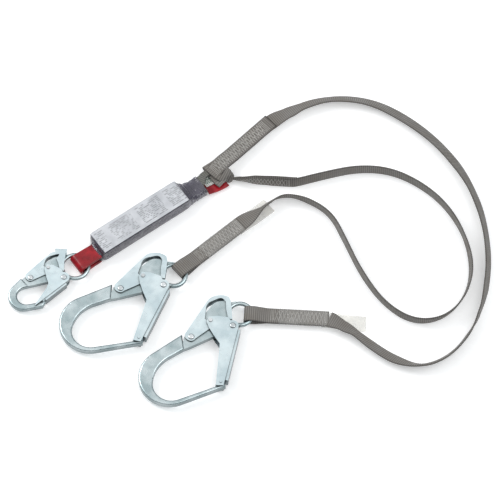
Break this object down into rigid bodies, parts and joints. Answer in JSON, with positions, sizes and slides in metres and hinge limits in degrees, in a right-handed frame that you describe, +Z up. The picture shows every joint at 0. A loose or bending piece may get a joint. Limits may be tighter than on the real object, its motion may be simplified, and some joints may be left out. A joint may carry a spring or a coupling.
{
  "type": "shock absorbing lanyard",
  "caption": "Twin-leg shock absorbing lanyard: snap hook, covered tear-webbing pack, two grey webbing legs laid in loose loops and two large rebar hooks with locking gates.",
  "frame": {"origin": "on the surface that the lanyard lies on, under the middle of everything but the two free webbing legs", "axes": "+Z up; +X from the snap hook towards the free legs; +Y towards the top of the layout"},
  "size_m": [0.7394, 0.5331, 0.0283],
  "materials": {
    "zinc_forging": "bright zinc plated forging",
    "zinc_plate": "bright zinc plated pressed steel",
    "rivet_steel": "domed steel rivets",
    "spring_steel": "spring wire",
    "grey_webbing": "ribbed polyester webbing",
    "loop_webbing": "polyester webbing",
    "tear_webbing": "folded tear webbing",
    "thread": "polyester thread",
    "clear_cover": "clear shrink film",
    "clear_sleeve": "clear vinyl",
    "label": "printed film label, plain lines only",
    "red_vinyl": "glossy red vinyl",
    "lining": "white lining with green stitches"
  },
  "bodies": {
    "lanyard": {"junction_wrap": "grey_webbing", "leg_a_clear_sleeve": "clear_sleeve", "leg_a_hook_loop": "grey_webbing", "leg_a_hook_stitching": "thread", "leg_a_pack_block": "grey_webbing", "leg_a_pack_stitching": "thread", "leg_a_webbing": "grey_webbing", "leg_b_clear_sleeve": "clear_sleeve", "leg_b_hook_loop": "grey_webbing", "leg_b_hook_stitching": "thread", "leg_b_pack_block": "grey_webbing", "leg_b_pack_stitching": "thread", "leg_b_webbing": "grey_webbing", "leg_end_loop": "loop_webbing", "loop_lining": "lining", "pack_cover": "clear_cover", "pack_label": "label", "pack_tear_webbing": "tear_webbing", "red_sleeve": "red_vinyl", "snap_end_loop": "loop_webbing", "wear_pad": "red_vinyl"},
    "leg_b_hook": {"leg_b_hook_body": "zinc_forging", "leg_b_hook_gate_rivet": "rivet_steel", "leg_b_hook_lever_rivet": "rivet_steel", "leg_b_hook_gate_spring": "spring_steel", "leg_b_hook_lever_spring": "spring_steel"},
    "leg_b_hook_gate": {"leg_b_hook_gate": "zinc_plate", "leg_b_hook_lock_studs": "rivet_steel"},
    "leg_b_hook_lever": {"leg_b_hook_lock_lever": "zinc_plate"},
    "leg_a_hook": {"leg_a_hook_body": "zinc_forging", "leg_a_hook_gate_rivet": "rivet_steel", "leg_a_hook_lever_rivet": "rivet_steel", "leg_a_hook_gate_spring": "spring_steel", "leg_a_hook_lever_spring": "spring_steel"},
    "leg_a_hook_gate": {"leg_a_hook_gate": "zinc_plate", "leg_a_hook_lock_studs": "rivet_steel"},
    "leg_a_hook_lever": {"leg_a_hook_lock_lever": "zinc_plate"},
    "snap_hook": {"snap_hook_body": "zinc_forging", "snap_hook_gate_rivet": "rivet_steel", "snap_hook_lever_rivet": "rivet_steel", "snap_hook_gate_spring": "spring_steel", "snap_hook_lever_spring": "spring_steel"},
    "snap_hook_gate": {"snap_hook_gate": "zinc_plate", "snap_hook_lock_studs": "rivet_steel"},
    "snap_hook_lever": {"snap_hook_lock_lever": "zinc_plate"}
  },
  "joints": [
    {"name": "leg_b_hook_swivel", "type": "hinge", "parent": "lanyard", "child": "leg_b_hook", "pos_m": [-0.02107, -0.02546, 0.0117], "axis": [0, 0, 1], "range_deg": [-3, 6]},
    {"name": "leg_b_hook_gate_turn", "type": "hinge", "parent": "leg_b_hook", "child": "leg_b_hook_gate", "pos_m": [-0.03657, -0.04646, 0.0117], "axis": [0, 0, -1], "range_deg": [0, 38], "stiffness_Nm_per_rad": 0.3, "springref_deg": -11.46},
    {"name": "leg_b_hook_lever_squeeze", "type": "hinge", "parent": "leg_b_hook", "child": "leg_b_hook_lever", "pos_m": [-0.10257, -0.05096, 0.0117], "axis": [0, 0, -1], "range_deg": [0, 6.01], "stiffness_Nm_per_rad": 0.2, "springref_deg": -2.86},
    {"name": "leg_a_hook_swivel", "type": "hinge", "parent": "lanyard", "child": "leg_a_hook", "pos_m": [0.08081, -0.09263, 0.0117], "axis": [0, 0, 1], "range_deg": [-3, 40]},
    {"name": "leg_a_hook_gate_turn", "type": "hinge", "parent": "leg_a_hook", "child": "leg_a_hook_gate", "pos_m": [0.06993, -0.11636, 0.0117], "axis": [0, 0, -1], "range_deg": [0, 38], "stiffness_Nm_per_rad": 0.3, "springref_deg": -11.46},
    {"name": "leg_a_hook_lever_squeeze", "type": "hinge", "parent": "leg_a_hook", "child": "leg_a_hook_lever", "pos_m": [0.00624, -0.13426, 0.0117], "axis": [0, 0, -1], "range_deg": [0, 6.01], "stiffness_Nm_per_rad": 0.2, "springref_deg": -2.86},
    {"name": "snap_hook_swivel", "type": "hinge", "parent": "lanyard", "child": "snap_hook", "pos_m": [-0.17267, -0.00956, 0.0098], "axis": [0, 0, 1], "range_deg": [-2, 9]},
    {"name": "snap_hook_gate_turn", "type": "hinge", "parent": "snap_hook", "child": "snap_hook_gate", "pos_m": [-0.18967, -0.03156, 0.0098], "axis": [0, 0, -1], "range_deg": [0, 22], "stiffness_Nm_per_rad": 0.3, "springref_deg": -11.46},
    {"name": "snap_hook_lever_squeeze", "type": "hinge", "parent": "snap_hook", "child": "snap_hook_lever", "pos_m": [-0.24097, -0.03136, 0.0098], "axis": [0, 0, -1], "range_deg": [0, 6.01], "stiffness_Nm_per_rad": 0.2, "springref_deg": -2.86}
  ],
  "couplings": [
    {"joint": "leg_b_hook_lever_squeeze", "follows": "leg_b_hook_gate_turn", "ratio": 0.15789},
    {"joint": "leg_a_hook_lever_squeeze", "follows": "leg_a_hook_gate_turn", "ratio": 0.15789},
    {"joint": "snap_hook_lever_squeeze", "follows": "snap_hook_gate_turn", "ratio": 0.27273}
  ]
}
